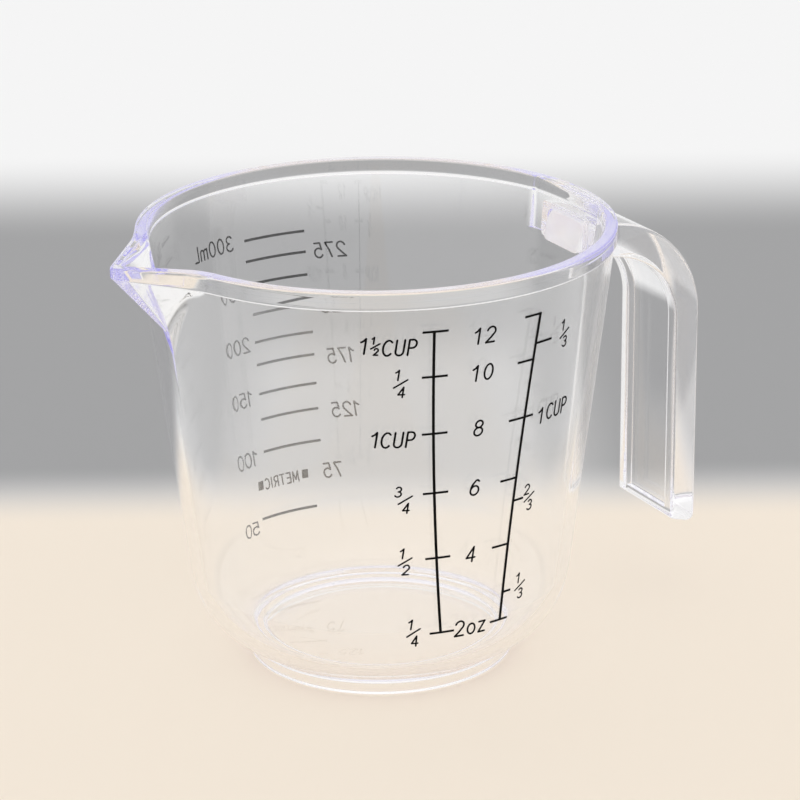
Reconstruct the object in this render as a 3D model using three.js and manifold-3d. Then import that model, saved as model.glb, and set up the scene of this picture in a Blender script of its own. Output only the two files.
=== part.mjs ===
// Clear plastic measuring cup: a tapered cup with a pointed spout, and a channel handle whose root
// passes through a window under the rim. Millimetres, +Z up, handle towards +X, spout towards -X.
import * as THREE from 'three';
import { mergeVertices } from 'three/addons/utils/BufferGeometryUtils.js';
import { ConvexGeometry } from 'three/addons/geometries/ConvexGeometry.js';
import Module from 'manifold-3d';

// Cup wall and rim
const rimRadius = 45;
const cupHeight = 85.4;
const rimBandHeight = 3.4;
const rimBandStep = 0.5;
const rimEdgeRound = 0.5;
const wallThickness = 2.3;
const wallDraft = 0.122; // radius lost for each millimetre of depth

// Bottom corner, base and foot ring
const cornerRise = 13.3; // height of the outer corner round above the foot
const footRadius = 25.6;
const footHeight = 4.3;
const footWall = 2.4;
const footRecess = 2;
const baseThickness = 3.2;
const floorInset = 3; // the flat floor ends this far inside the foot's outside

// Pouring spout
const spoutProjection = 9.2; // from the rim circle out to the tip
const spoutWidth = 28.8; // where its edges leave the rim circle
const spoutDepth = 12.1; // the keel starts this far below the rim band
const spoutBlend = 25; // radius between the rim circle and the spout's edges
const spoutTipRound = 0.8;
const spoutDip = 1.25; // the tip lies this far below the rim
const spoutDipInset = 2.5; // the dip starts this far inside the rim circle

// Flat panel inside the rim, at the handle
const panelDepth = 10.1;
const panelWidth = 23.2;
const panelDistance = 3.75; // from the rim's outside in to the panel's plane

// Handle
const handleWidth = 19.4;
const fingerGap = 15.25; // from the rim to the grip's front edges
const gripDepth = 5.3;
const gripBottom = 17.1;
const archOuterRadius = 22;
const archInnerRadius = 15.75;
const rootHeight = 7.75;
const rootDrop = 0.5; // from the rim band down to the root's top
const flangeThickness = 2.8;
const webThickness = 2;
const endWallThickness = 2.4;
const channelEnd = 5.5; // solid root left between the cup wall and the channel
const gripCornerRound = 1.6;
const handleEdgeRound = 0.5;

// Root tenon and its window
const tenonWidth = 13.4;
const tenonShoulderTop = 1.1; // the root stands above the tenon by this much
const tenonShoulderBottom = 0.55; // and below it by this much
const tenonRound = 1.8;
const tenonProud = 0.1; // the tenon's end stands this far inside the panel at its top
const tenonEndSlope = 0.31; // the end leans further inwards towards its bottom
const fitGap = 0.3;

// Printed scales
const inkThickness = 0.12;
const inkGap = 0.05; // clear of the facets of the wall
const ruleWidth = 0.5;
const tickWidth = 0.4;
const inkStep = 1.2; // longest flat stretch of ink around the wall
const inkMargin = 1; // bare wall left under the rim band
const ruleOffset = 6.2; // a US rule's lower end lies this far from the middle of its scale
const ruleLean = 0.0757; // and the rule moves out by this much for each millimetre up
const ruleBow = 0.65; // both rules bow to the left by this much half way up
const cupTickOut = 2.1;
const cupTickIn = 2.6;
const ounceTickReach = 3.6;
const lowestTickReach = 2.2; // shorter, to leave room for the unit
const ounceHeights = [16.9, 32.6, 45.9, 57.8, 69, 77.7];
const crossingReaches = [1.7, 0, 0, 2, 0, 0]; // how far each ounce tick runs on past the right rule
const thirdHeights = [22.6, 41.2, 72];
const thirdReaches = [1.9, 2.4, 4];
const metricBarLength = 13.8;
const metricOffset = 1.5; // the metric bars stand this far round from the middle of their side
const metricFirstOffset = 3.4; // and the lowest bar this far
const metricMarks = ['50', '100', '125', '150', '175', '200', '225', '250', '275', '300'];
const metricHeights = [15.5, 29, 35.6, 40.8, 46.7, 51.3, 56.9, 62.6, 67.2, 71.4];

// How finely round things are cut
const roundSegments = 96;
const cornerSegments = 10;
const archSegments = 14;
const blendSegments = 6;

// Worked out from the sizes above
const wallTop = cupHeight - rimBandHeight;
const wallTopRadius = rimRadius - rimBandStep;
const cornerTop = footHeight + cornerRise;
const floorHeight = footRecess + baseThickness;
const spoutReach = rimRadius + spoutProjection;
const spoutStart = Math.sqrt(rimRadius ** 2 - (spoutWidth / 2) ** 2);
const spoutHalfAngle = Math.atan2(spoutWidth / 2, spoutReach - spoutStart);
const panelPlane = rimRadius - panelDistance;
const gripFront = rimRadius + fingerGap;
const gripBack = gripFront + gripDepth;
const rootTop = wallTop - rootDrop;
const rootBottom = rootTop - rootHeight;
const tenonTop = rootTop - tenonShoulderTop;
const tenonBottom = rootBottom + tenonShoulderBottom;
const through = 2 * (cupHeight + rimRadius); // long enough to cut right through anything here

const wasm = await Module();
wasm.setup();

// A closed three.js geometry as a solid that can be cut and joined
function solidOf(geometry) {
  const bare = geometry.clone();
  bare.deleteAttribute('normal');
  bare.deleteAttribute('uv');
  const merged = mergeVertices(bare, 1e-4);
  const corners = merged.index.array;
  const kept = [];
  for (let i = 0; i < corners.length; i += 3) {
    const [a, b, c] = [corners[i], corners[i + 1], corners[i + 2]];
    if (a !== b && b !== c && c !== a) kept.push(a, b, c);
  }
  const mesh = new wasm.Mesh({
    numProp: 3,
    vertProperties: new Float32Array(merged.attributes.position.array),
    triVerts: new Uint32Array(kept),
  });
  mesh.merge();
  return new wasm.Manifold(mesh);
}

function geometryOf(solid) {
  const { vertProperties, triVerts } = solid.getMesh();
  const geometry = new THREE.BufferGeometry();
  geometry.setAttribute('position', new THREE.BufferAttribute(vertProperties, 3));
  geometry.setIndex(new THREE.BufferAttribute(triVerts, 1));
  geometry.computeVertexNormals();
  return geometry;
}

// A profile of [radius, height] pairs turned about the cup's axis
function turned(profile) {
  const points = profile.map(([radius, height]) => new THREE.Vector2(radius, height));
  return solidOf(new THREE.LatheGeometry(points, roundSegments).rotateX(Math.PI / 2));
}

// A side outline drawn as (distance from the axis, height), as wide as given across the handle
function sideways(shape, width, edgeRound = 0) {
  const geometry = new THREE.ExtrudeGeometry(shape, {
    depth: width - 2 * edgeRound,
    curveSegments: archSegments,
    bevelEnabled: edgeRound > 0,
    bevelSize: edgeRound,
    bevelThickness: edgeRound,
    bevelOffset: -edgeRound,
    bevelSegments: 2,
  });
  return solidOf(geometry.rotateX(Math.PI / 2).translate(0, width / 2 - edgeRound, 0));
}

function block(xLow, xHigh, width, zLow, zHigh) {
  const geometry = new THREE.BoxGeometry(xHigh - xLow, width, zHigh - zLow);
  return solidOf(geometry.translate((xLow + xHigh) / 2, 0, (zLow + zHigh) / 2));
}

// The tenon's section with its rounded corners, larger all round by grow, run along X
function tenonBar(xLow, xHigh, grow) {
  const half = tenonWidth / 2 + grow;
  const low = tenonBottom - grow;
  const high = tenonTop + grow;
  const round = tenonRound + grow;
  const quarter = Math.PI / 2;
  const shape = new THREE.Shape();
  shape.absarc(half - round, low + round, round, -quarter, 0, false);
  shape.absarc(half - round, high - round, round, 0, quarter, false);
  shape.absarc(round - half, high - round, round, quarter, 2 * quarter, false);
  shape.absarc(round - half, low + round, round, 2 * quarter, 3 * quarter, false);
  shape.closePath();
  const geometry = new THREE.ExtrudeGeometry(shape, {
    depth: xHigh - xLow, bevelEnabled: false, curveSegments: blendSegments,
  });
  const across = new THREE.Vector3(0, 1, 0);
  const up = new THREE.Vector3(0, 0, 1);
  const out = new THREE.Vector3(1, 0, 0);
  geometry.applyMatrix4(new THREE.Matrix4().makeBasis(across, up, out));
  return solidOf(geometry.translate(xLow, 0, 0));
}

// Outside radius of the plain wall and of the corner round below it
function wallRadius(height) {
  return wallTopRadius - wallDraft * (wallTop - height);
}

// Quarter ellipse from the drafted wall at cornerTop in to a level floor or foot, from the bottom up
function cornerRound(topRadius, bottomRadius, bottomHeight) {
  const rise = cornerTop - bottomHeight;
  const run = topRadius - wallDraft * rise - bottomRadius;
  const points = [];
  for (let i = 0; i <= cornerSegments; i += 1) {
    const turn = (Math.PI / 2) * (1 - i / cornerSegments);
    const drop = rise * Math.sin(turn);
    points.push([topRadius - wallDraft * drop - run * (1 - Math.cos(turn)), cornerTop - drop]);
  }
  return points;
}

function outsideRadius(height) {
  if (height >= cornerTop) return wallRadius(height);
  const drop = Math.min(cornerTop - height, cornerRise);
  const run = wallRadius(cornerTop) - wallDraft * cornerRise - footRadius;
  return wallRadius(cornerTop) - wallDraft * drop - run * (1 - Math.sqrt(1 - (drop / cornerRise) ** 2));
}

function cupOutside() {
  const footInner = footRadius - footWall;
  return turned([
    [0, footRecess],
    [footInner - footRecess / 2, footRecess],
    [footInner, 0],
    [footRadius, 0],
    ...cornerRound(wallRadius(cornerTop), footRadius, footHeight),
    [wallTopRadius, wallTop],
    [wallTopRadius, cupHeight - rimEdgeRound],
    [0, cupHeight - rimEdgeRound],
  ]);
}

function cupInside() {
  const inner = (height) => wallRadius(height) - wallThickness;
  return turned([
    [0, floorHeight],
    ...cornerRound(inner(cornerTop), footRadius - floorInset, floorHeight),
    [inner(through), through],
    [0, through],
  ]);
}

// Spout in plan: two straight edges that meet at a rounded tip and blend into the rim circle
const edgeNormal = new THREE.Vector2(-Math.sin(spoutHalfAngle), Math.cos(spoutHalfAngle));
const edgeAlong = new THREE.Vector2(Math.cos(spoutHalfAngle), Math.sin(spoutHalfAngle));
const spoutApex = spoutReach + spoutTipRound * (1 / Math.sin(spoutHalfAngle) - 1);

function arcPoints(centre, radius, from, to, segments) {
  const curve = new THREE.EllipseCurve(centre.x, centre.y, radius, radius, from, to, to < from);
  return curve.getPoints(segments);
}

function rimOutline() {
  const edgeDistance = spoutApex * Math.sin(spoutHalfAngle);
  const reach = rimRadius + spoutBlend;
  const back = Math.sqrt(reach ** 2 - (edgeDistance + spoutBlend) ** 2);
  const centre = edgeNormal.clone().multiplyScalar(edgeDistance + spoutBlend);
  centre.addScaledVector(edgeAlong, -back);
  const rimEnd = centre.angle();
  const edgeTurn = edgeNormal.angle();
  const middle = new THREE.Vector2();
  const tipCentre = new THREE.Vector2(spoutTipRound - spoutReach, 0);
  const upperBlend = arcPoints(centre, spoutBlend, rimEnd + Math.PI, edgeTurn + Math.PI, blendSegments);
  const lowerBlend = upperBlend.map((point) => new THREE.Vector2(point.x, -point.y)).reverse();
  return new THREE.Shape([
    ...arcPoints(middle, rimRadius, -rimEnd, rimEnd, roundSegments).slice(1, -1),
    ...upperBlend,
    ...arcPoints(tipCentre, spoutTipRound, edgeTurn, 2 * Math.PI - edgeTurn, blendSegments),
    ...lowerBlend,
  ]);
}

function rimBand() {
  const geometry = new THREE.ExtrudeGeometry(rimOutline(), {
    depth: rimBandHeight - 2 * rimEdgeRound,
    bevelEnabled: true,
    bevelSize: rimEdgeRound,
    bevelThickness: rimEdgeRound,
    bevelOffset: -rimEdgeRound,
    bevelSegments: 2,
  });
  return solidOf(geometry.translate(0, 0, wallTop + rimEdgeRound));
}

// The spout below the band is a wedge with two flat faces that meet in the keel
const keelFoot = new THREE.Vector3(-wallRadius(wallTop - spoutDepth), 0, wallTop - spoutDepth);
const wedgeApex = new THREE.Vector3(-spoutApex + rimBandStep / Math.sin(spoutHalfAngle), 0, wallTop);

// Where a spout edge, carried on into the cup, comes nearest to the axis
function wedgeCorner(side) {
  const run = spoutApex * Math.cos(spoutHalfAngle);
  return new THREE.Vector3(wedgeApex.x + run * edgeAlong.x, side * run * edgeAlong.y, wallTop);
}

function spoutOutside() {
  const lift = new THREE.Vector3(0, 0, rimBandHeight / 2);
  const top = [wedgeApex, wedgeCorner(1), wedgeCorner(-1)];
  return solidOf(new ConvexGeometry([keelFoot, ...top, ...top.map((corner) => corner.clone().add(lift))]));
}

// The channel inside is the same wedge moved inwards until its faces are one wall thickness apart
function spoutInside() {
  const top = [wedgeApex, wedgeCorner(1), wedgeCorner(-1)];
  const face = new THREE.Plane().setFromCoplanarPoints(keelFoot, top[0], top[1]);
  const shift = new THREE.Vector3(wallThickness / Math.abs(face.normal.x), 0, 0);
  const stretch = (cupHeight + rimBandHeight - keelFoot.z) / (wallTop - keelFoot.z);
  const opened = top.map((corner) => corner.clone().sub(keelFoot).multiplyScalar(stretch).add(keelFoot));
  return solidOf(new ConvexGeometry([keelFoot, ...opened].map((corner) => corner.clone().add(shift))));
}

// What the dipping spout leaves out above its lip
function spoutDipCut() {
  const start = spoutDipInset - rimRadius;
  const slope = spoutDip / (spoutReach + start);
  const shape = new THREE.Shape();
  shape.moveTo(start, cupHeight);
  shape.lineTo(start, cupHeight + rimBandHeight);
  shape.lineTo(start - rimRadius, cupHeight + rimBandHeight);
  shape.lineTo(start - rimRadius, cupHeight - slope * rimRadius);
  shape.closePath();
  return sideways(shape, 2 * rimRadius);
}

function makeCupBody() {
  const panelBottom = cupHeight - panelDepth;
  const behindPanel = block(panelPlane, through, panelWidth, panelBottom, 2 * through);
  const beforePanel = block(panelPlane / 2, panelPlane, panelWidth, panelBottom, through);
  const inside = cupInside().subtract(behindPanel).add(beforePanel).add(spoutInside());
  const window = tenonBar(panelPlane / 2, through, fitGap);
  const outside = cupOutside().add(spoutOutside()).add(rimBand());
  return outside.subtract(inside).subtract(spoutDipCut()).subtract(window);
}

// Side outline of the whole handle, from the cup's axis side of the root round to the grip
function handleOutline() {
  const quarter = Math.PI / 2;
  const cornerX = gripBack - gripCornerRound;
  const shape = new THREE.Shape();
  shape.moveTo(gripFront, gripBottom);
  shape.lineTo(cornerX, gripBottom);
  shape.absarc(cornerX, gripBottom + gripCornerRound, gripCornerRound, -quarter, 0, false);
  shape.absarc(gripBack - archOuterRadius, rootTop - archOuterRadius, archOuterRadius, 0, quarter, false);
  shape.lineTo(rimRadius / 2, rootTop);
  shape.lineTo(rimRadius / 2, rootBottom);
  shape.absarc(gripFront - archInnerRadius, rootBottom - archInnerRadius, archInnerRadius, quarter, 0, true);
  shape.closePath();
  return shape;
}

// The channel's floor runs parallel to the handle's back, one web thickness inside it
function channelOutline() {
  const floorRadius = archOuterRadius - webThickness;
  const centreX = gripBack - archOuterRadius;
  const centreZ = rootTop - archOuterRadius;
  const endX = wallRadius(rootTop) + fitGap + channelEnd;
  const endTurn = Math.acos((endX - centreX) / floorRadius);
  const shape = new THREE.Shape();
  shape.moveTo(gripFront - fingerGap / 2, gripBottom + endWallThickness);
  shape.lineTo(gripBack - webThickness, gripBottom + endWallThickness);
  shape.absarc(centreX, centreZ, floorRadius, 0, endTurn, false);
  shape.lineTo(endX, centreZ);
  shape.closePath();
  return shape;
}

// The tenon's end leans more than the wall and stands a little inside the flat panel
function makeTenon() {
  const endTop = panelPlane - tenonProud;
  const endBottom = endTop - tenonEndSlope * (tenonTop - tenonBottom);
  const held = wallRadius(rootTop) + fitGap + channelEnd / 2;
  const side = new THREE.Shape();
  side.moveTo(endBottom, tenonBottom);
  side.lineTo(held, tenonBottom);
  side.lineTo(held, tenonTop);
  side.lineTo(endTop, tenonTop);
  side.closePath();
  return tenonBar(endBottom, held, 0).intersect(sideways(side, handleWidth));
}

function makeHandle() {
  const clearOfCup = turned([
    [0, footHeight],
    [wallRadius(footHeight) + fitGap, footHeight],
    [wallTopRadius + fitGap, wallTop],
    [0, wallTop],
  ]);
  const channel = sideways(channelOutline(), handleWidth - 2 * flangeThickness);
  const grip = sideways(handleOutline(), handleWidth, handleEdgeRound).subtract(channel);
  return grip.subtract(clearOfCup).add(makeTenon());
}

// A straight stroke of ink between two [offset, height] places on the unrolled wall, wrapped round it
function inkStroke(facing, [fromOffset, fromHeight], [toOffset, toHeight], width, bow = () => 0) {
  const start = new THREE.Vector2(fromOffset, fromHeight);
  const run = new THREE.Vector2(toOffset, toHeight).sub(start);
  const steps = Math.max(Math.ceil(Math.abs(run.x) / inkStep), Math.ceil(run.length() / (inkStep * 4)));
  const geometry = new THREE.BoxGeometry(run.length(), width, inkThickness, steps, 1, 1);
  geometry.translate(run.length() / 2, 0, inkThickness / 2 + inkGap);
  geometry.rotateZ(run.angle());
  geometry.translate(start.x, start.y, 0);
  const places = geometry.attributes.position;
  for (let i = 0; i < places.count; i += 1) {
    const height = places.getY(i);
    const radius = outsideRadius(height);
    const turn = facing + (places.getX(i) + bow(height)) / radius;
    const out = radius + places.getZ(i);
    places.setXYZ(i, out * Math.cos(turn), out * Math.sin(turn), height);
  }
  return solidOf(geometry);
}

const usFacing = -Math.PI / 2;
const metricFacing = Math.PI / 2;

// Only marks that lie on the wall below the rim band are printed
const printed = (height) => height <= wallTop - inkMargin;
const printedOunces = ounceHeights.filter(printed);
const printedThirds = thirdHeights.filter(printed);

// A US rule's place at a height, on the left (-1) or right (1) of the middle of its scale
function rulePlace(side, height) {
  return side * (ruleOffset + ruleLean * (height - ounceHeights[0]));
}

// What the whole US print moves by at a height: nothing at its ends, most half way up
function usBow(height) {
  const half = (ounceHeights.at(-1) - ounceHeights[0]) / 2;
  const fromMiddle = (height - ounceHeights[0] - half) / half;
  return -ruleBow * (1 - fromMiddle ** 2);
}

// A rule from its lowest to its highest mark
function usRule(side, marks) {
  const low = Math.min(...marks);
  const high = Math.max(...marks);
  const from = [rulePlace(side, low), low - tickWidth / 2];
  const to = [rulePlace(side, high), high + tickWidth / 2];
  return inkStroke(usFacing, from, to, ruleWidth, usBow);
}

function usTick(side, height, left, right) {
  const middle = rulePlace(side, height);
  return inkStroke(usFacing, [middle - left, height], [middle + right, height], tickWidth, usBow);
}

function makeLeftScale() {
  const ticks = printedOunces.map((height) => usTick(-1, height, cupTickOut, cupTickIn));
  return ticks.reduce((film, tick) => film.add(tick), usRule(-1, printedOunces));
}

function makeRightScale() {
  const rule = usRule(1, [...printedOunces, ...printedThirds]);
  const ounces = printedOunces.map((height, i) => {
    const inwards = i === 0 ? lowestTickReach : ounceTickReach;
    return usTick(1, height, inwards, Math.max(crossingReaches[i], ruleWidth / 2));
  });
  const thirds = printedThirds.map((height, i) => usTick(1, height, ruleWidth / 2, thirdReaches[i]));
  return [...ounces, ...thirds].reduce((film, tick) => film.add(tick), rule);
}

function makeMetricMark(height, offset) {
  const half = metricBarLength / 2;
  return inkStroke(metricFacing, [offset - half, height], [offset + half, height], ruleWidth);
}

const clearPlastic = new THREE.MeshStandardMaterial({
  color: 0xf1f0f7, roughness: 0.06, metalness: 0, transparent: true, opacity: 0.35,
});
const blackInk = new THREE.MeshStandardMaterial({ color: 0x141416, roughness: 0.45, metalness: 0 });

const measuringCup = new THREE.Group();
measuringCup.position.x = (spoutReach - gripBack) / 2; // the origin is under the middle of the whole cup

function addPiece(name, solid, material) {
  const mesh = new THREE.Mesh(geometryOf(solid), material);
  mesh.name = name;
  measuringCup.add(mesh);
}

addPiece('cup_body', makeCupBody(), clearPlastic);
addPiece('handle', makeHandle(), clearPlastic);
addPiece('us_scale_left', makeLeftScale(), blackInk);
addPiece('us_scale_right', makeRightScale(), blackInk);
metricMarks.forEach((mark, i) => {
  const offset = i === 0 ? metricFirstOffset : metricOffset;
  if (printed(metricHeights[i])) {
    addPiece(`metric_mark_${mark}`, makeMetricMark(metricHeights[i], offset), blackInk);
  }
});

export default measuringCup;
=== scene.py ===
# Clear plastic measuring cup with printed scales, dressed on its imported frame
import math

import bmesh
import bpy
import numpy as np
from mathutils import Matrix, Vector


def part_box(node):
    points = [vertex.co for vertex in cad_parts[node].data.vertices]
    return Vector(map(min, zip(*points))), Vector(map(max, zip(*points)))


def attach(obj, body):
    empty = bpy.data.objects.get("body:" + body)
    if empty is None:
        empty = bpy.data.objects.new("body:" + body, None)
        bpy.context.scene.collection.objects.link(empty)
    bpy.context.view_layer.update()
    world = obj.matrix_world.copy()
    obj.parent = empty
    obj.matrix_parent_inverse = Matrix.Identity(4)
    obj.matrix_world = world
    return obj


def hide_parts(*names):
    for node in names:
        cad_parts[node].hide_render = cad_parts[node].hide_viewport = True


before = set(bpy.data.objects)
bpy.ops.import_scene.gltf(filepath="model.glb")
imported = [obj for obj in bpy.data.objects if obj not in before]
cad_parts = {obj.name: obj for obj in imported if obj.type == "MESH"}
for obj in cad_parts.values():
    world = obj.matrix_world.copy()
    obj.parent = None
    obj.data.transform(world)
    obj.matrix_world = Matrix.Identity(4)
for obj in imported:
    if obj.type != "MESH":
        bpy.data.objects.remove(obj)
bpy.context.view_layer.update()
print("frame loaded:", len(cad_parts), "nodes")

mm = 0.001
sharpAngle = math.radians(35.0)  # edges that turn by more than this stay crisp

# The cup, in millimetres from its own axis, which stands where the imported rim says
cup = {
    "rimRadius": 45.0,
    "height": 85.4,
    "bandHeight": 3.4,
    "bandStep": 0.5,
    "edgeRound": 0.45,
    "wall": 2.3,
    "draft": 0.122,  # radius lost for each millimetre of depth
    "cornerRise": 13.3,
    "footRadius": 25.6,
    "footHeight": 4.3,
    "footWall": 2.4,
    "footRound": 0.5,
    "recess": 2.0,  # the hollow under the base
    "recessRound": 0.6,
    "recessDraft": 0.1,
    "base": 3.2,
    "floorInset": 3.0,
    "skin": 0.02,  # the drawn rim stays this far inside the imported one
}
spout = {
    "projection": 9.2,
    "width": 28.8,
    "depth": 12.1,  # keel starts this far under the band
    "dip": 1.25,
    "dipInset": 2.5,
    "tipRound": 2.2,
    "tipEase": 0.35,  # how fast the band's step grows from nothing at the tip
    "keelRound": 0.9,
    "innerInset": 4.0,  # from the keel in to the channel's own keel, at the band's lower edge
    "innerSlope": 0.6,  # how far the channel's keel runs out for each millimetre up
    "blend": 1.6,
    "faceBlend": 0.8,
    "nearCosine": -0.75,  # the spout's formulas hold where a turn's cosine is under this
    "lipCosine": -0.9,  # and the band's step is eased away where it is under this
}
panel = {"depth": 10.1, "width": 23.2, "distance": 3.75, "lean": 0.06, "edge": 1.2}  # edge in degrees

# Rows of the cup's grid in each stretch, and its columns, in degrees
cupGrid = {
    "pole": 0.02,  # radius of the rings about the middle of the base, in millimetres
    "base": 4,
    "arc": 5,
    "corner": 32,
    "wall": 6,
    "spoutWall": 30,
    "band": 8,
    "bandEdge": 6,
    "rimTop": 7,
    "panelWall": 20,
    "underPanel": 15,
    "fineOut": 2.0,  # rows lie closer from this far under the keel's foot, outside
    "fineIn": 4.0,  # and inside, in millimetres
    "step": 1.0,
    "spoutSpan": 25.0,  # to either side of the spout the columns lie closer
    "spoutColumns": 91,
    "panelColumns": 7,
}

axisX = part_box("cup_body")[1].x / mm - cup["rimRadius"]
wallTop = cup["height"] - cup["bandHeight"]
wallTopRadius = cup["rimRadius"] - cup["bandStep"]
cornerTop = cup["footHeight"] + cup["cornerRise"]
floorHeight = cup["recess"] + cup["base"]
spoutReach = cup["rimRadius"] + spout["projection"]
spoutStart = math.sqrt(cup["rimRadius"] ** 2 - (spout["width"] / 2) ** 2)
spoutTurn = math.atan2(spout["width"] / 2, spoutReach - spoutStart)
keelLow = wallTop - spout["depth"]
panelPlane = cup["rimRadius"] - panel["distance"]
panelBottom = cup["height"] - panel["depth"]
panelEdge = math.degrees(math.atan2(panel["width"] / 2, panelPlane))


def newPiece(name, verts, faces):
    # Points in millimetres from the cup's axis become a smooth mesh in metres, faces outwards
    points = (np.asarray(verts, float) + np.array([axisX, 0.0, 0.0])) * mm
    mesh = bpy.data.meshes.new(name)
    mesh.from_pydata(points.tolist(), [], faces)
    work = bmesh.new()
    work.from_mesh(mesh)
    bmesh.ops.remove_doubles(work, verts=work.verts, dist=1e-7)
    bmesh.ops.dissolve_degenerate(work, edges=work.edges, dist=1e-7)
    bmesh.ops.recalc_face_normals(work, faces=work.faces)
    work.to_mesh(mesh)
    work.free()
    mesh.shade_smooth()
    mesh.set_sharp_from_angle(angle=sharpAngle)
    piece = bpy.data.objects.new(name, mesh)
    bpy.context.scene.collection.objects.link(piece)
    return piece


def gridFaces(rows, columns):
    # Quads between neighbouring rows of a grid whose columns run right round
    here = np.arange(rows * columns).reshape(rows, columns)
    right = np.roll(here, -1, axis=1)
    quads = np.stack([here[:-1], right[:-1], right[1:], here[1:]], axis=-1)
    return quads.reshape(-1, 4).tolist()


def closedSkin(name, grid, firstMiddle, lastMiddle):
    # A grid whose columns run right round, closed by a fan about a middle point at each end
    rows, columns = grid.shape[:2]
    ring = np.arange(columns)
    after = np.roll(ring, -1)
    first, last, top = rows * columns, rows * columns + 1, (rows - 1) * columns
    faces = gridFaces(rows, columns)
    faces += np.stack([np.full(columns, first), after, ring], axis=-1).tolist()
    faces += np.stack([np.full(columns, last), top + ring, top + after], axis=-1).tolist()
    print(name + ":", rows, "rows,", columns, "columns")
    return newPiece(name, np.concatenate([grid.reshape(-1, 3), [firstMiddle, lastMiddle]]), faces)


def sideBySide(*values):
    # Numbers and arrays as the columns of one table
    return np.stack(np.broadcast_arrays(*values), axis=-1)


def softMin(a, b, span):
    # The lesser of two fields, rounded where they are within span of each other
    near = np.maximum(span - np.abs(a - b), 0.0) / span
    return np.minimum(a, b) - near ** 2 * span / 4


def softMax(a, b, span):
    return -softMin(-a, -b, span)


def smoothStep(value):
    # Nothing below 0, one above 1, and three squares less two cubes between them
    past = np.clip(value, 0.0, 1.0)
    return past ** 2 * (3 - 2 * past)


def wallOut(height):
    return wallTopRadius - cup["draft"] * (wallTop - height)


def wallIn(height):
    return wallOut(height) - cup["wall"]


def panelAt(height):
    return panelPlane - panel["lean"] * (cup["height"] - height)


def arcRows(x, z, radius, fromTurn, toTurn, count):
    # Part of a circle about x, z: radius and height rows
    turn = np.radians(np.linspace(fromTurn, toTurn, count))
    return np.stack([x + radius * np.cos(turn), z + radius * np.sin(turn)], axis=-1)


def quarterRound(topRadius, bottomRadius, bottomHeight):
    # Quarter ellipse from the drafted wall in to a level floor: radius and height from the bottom up
    rise = cornerTop - bottomHeight
    run = topRadius - cup["draft"] * rise - bottomRadius
    turn = np.linspace(math.pi / 2, 0.0, cupGrid["corner"])
    drop = rise * np.sin(turn)
    return sideBySide(topRadius - cup["draft"] * drop - run * (1 - np.cos(turn)), cornerTop - drop)


# Spout wedges, outside and inside: two planes each, through a keel that rises from the wall
wedgeTip = spoutReach - cup["bandStep"] / math.sin(spoutTurn)
outerWedge = {
    "tip": wedgeTip,
    "slope": (wedgeTip - wallOut(keelLow)) / spout["depth"],
    "startsUnder": 3.0,  # millimetres under the keel's foot from which it is worked out
}
innerWedge = {
    "tip": wedgeTip - spout["innerInset"],
    "slope": spout["innerSlope"],
    "startsUnder": 5.0,
}
grazing = 0.05  # a plane met at less than this sine counts as never met
farAway = 1000.0


def planePair(turn, ahead, across, level, rounding):
    # Distance along each turn to the nearer of two mirrored planes, rounded where they meet
    sides = [-ahead * np.cos(turn) + way * across * np.sin(turn) for way in (1, -1)]
    left, right = (np.where(side > grazing, level / np.maximum(side, grazing), farAway) for side in sides)
    return softMin(left, right, rounding)


def wedgeRadius(turn, height, wedge):
    # The two planes of a wedge lean out by its slope for each millimetre up
    tilt = math.atan(wedge["slope"] * math.sin(spoutTurn))
    ahead = math.cos(tilt) * math.sin(spoutTurn)
    across = math.cos(tilt) * math.cos(spoutTurn)
    level = ahead * wedge["tip"] + math.sin(tilt) * (height - wallTop)
    return planePair(turn, ahead, across, level, spout["keelRound"])


def withWedge(turn, radius, height, wedge):
    # The wall or the wedge, whichever is further out
    near = (np.cos(turn) < spout["nearCosine"]) & (height > keelLow - wedge["startsUnder"])
    return np.where(near, softMax(radius, wedgeRadius(turn, height, wedge), spout["faceBlend"]), radius)


def bandRadius(turn):
    # Rim outline in plan: a circle, and two straight spout edges that meet at the tip
    ahead, across = math.sin(spoutTurn), math.cos(spoutTurn)
    edges = planePair(turn, ahead, across, spoutReach * ahead, spout["tipRound"])
    circle = np.full_like(turn, cup["rimRadius"])
    near = np.cos(turn) < spout["nearCosine"]
    return np.where(near, softMax(circle, edges, spout["blend"]), circle) - cup["skin"]


def cupTurns():
    # Columns lie closer together at the spout and at the panel's edges
    start, count = 180.0 - cupGrid["spoutSpan"], cupGrid["spoutColumns"]
    atSpout = [np.linspace(-180.0, -start, count), np.linspace(start, 180.0, count)[:-1]]
    edges = panelEdge + np.linspace(0.0, panel["edge"], cupGrid["panelColumns"])
    even = np.arange(-180.0, 180.0, cupGrid["step"])
    fromEdge = np.abs(np.abs(even) - panelEdge - panel["edge"] / 2)
    even = even[(np.abs(even) < start) & (fromEdge > cupGrid["step"])]
    turns = np.concatenate([even, *atSpout, edges, -edges])
    return np.radians(np.sort(np.unique(turns.round(6))))


def panelShare(turn):
    # One over the flat panel, falling smoothly to nothing across its edges
    return 1 - smoothStep((np.degrees(np.abs(turn)) - panelEdge) / panel["edge"])


def panelAhead(turn):
    # The panel's plane lies at its distance over this cosine, which is held above a half
    return np.maximum(np.cos(turn), 0.5)


def levelRows(heights, turns):
    return np.repeat(heights[:, None], len(turns), axis=1)


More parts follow.
